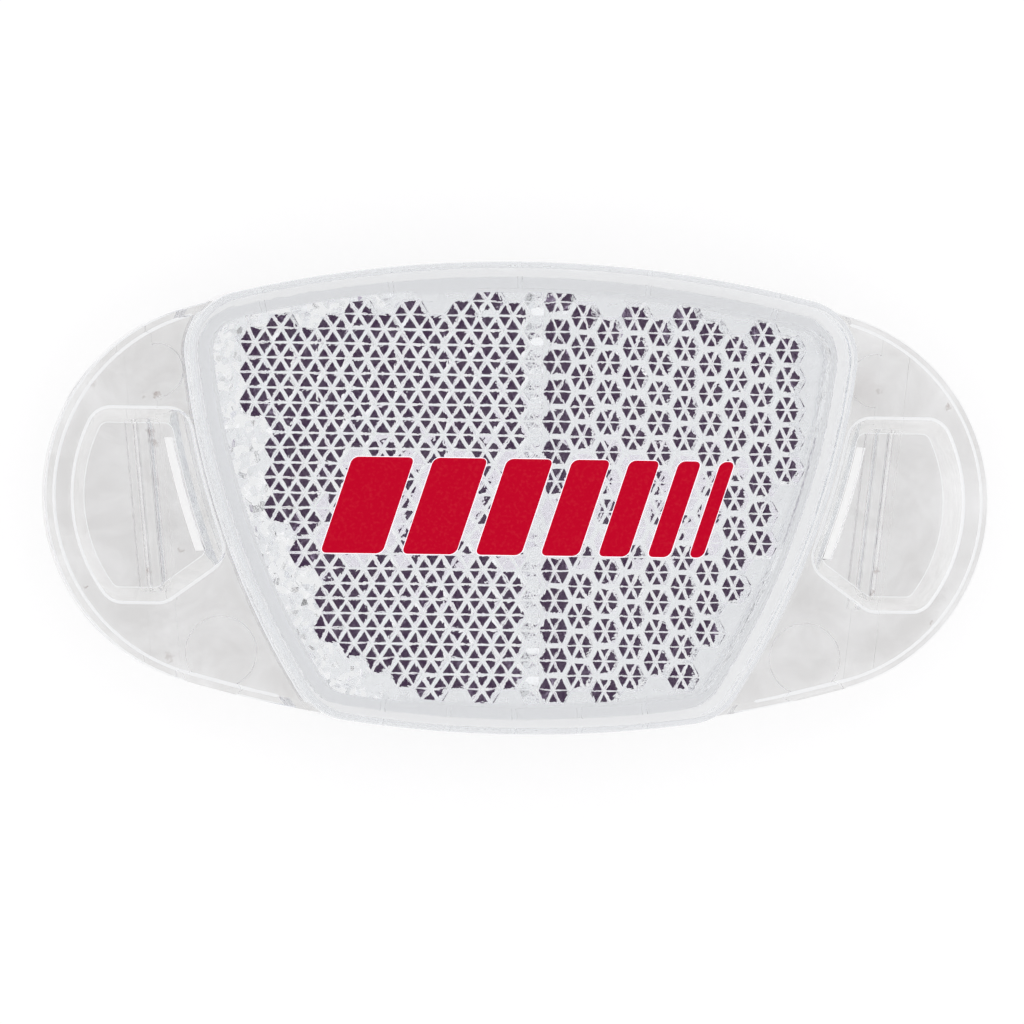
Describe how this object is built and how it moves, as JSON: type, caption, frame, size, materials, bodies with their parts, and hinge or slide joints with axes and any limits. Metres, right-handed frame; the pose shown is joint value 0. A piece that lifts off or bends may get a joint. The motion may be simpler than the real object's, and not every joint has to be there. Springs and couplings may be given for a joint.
{
  "type": "bicycle spoke reflector",
  "caption": "Clear oval wheel reflector with a raised block of cube-corner prisms and two windowed wings that snap onto bicycle spokes.",
  "frame": {"origin": "middle of the underside, where the reflector lies on its rear lens", "axes": "+X along the reflector, +Y from the hub side to the rim side, +Z from the rear lens to the front lens"},
  "size_m": [0.0954, 0.0474, 0.0094],
  "materials": {
    "clear_acrylic": "clear, polished mould"
  },
  "bodies": {
    "root": {"front_shell": "clear_acrylic", "rear_lens": "clear_acrylic"}
  },
  "joints": []
}
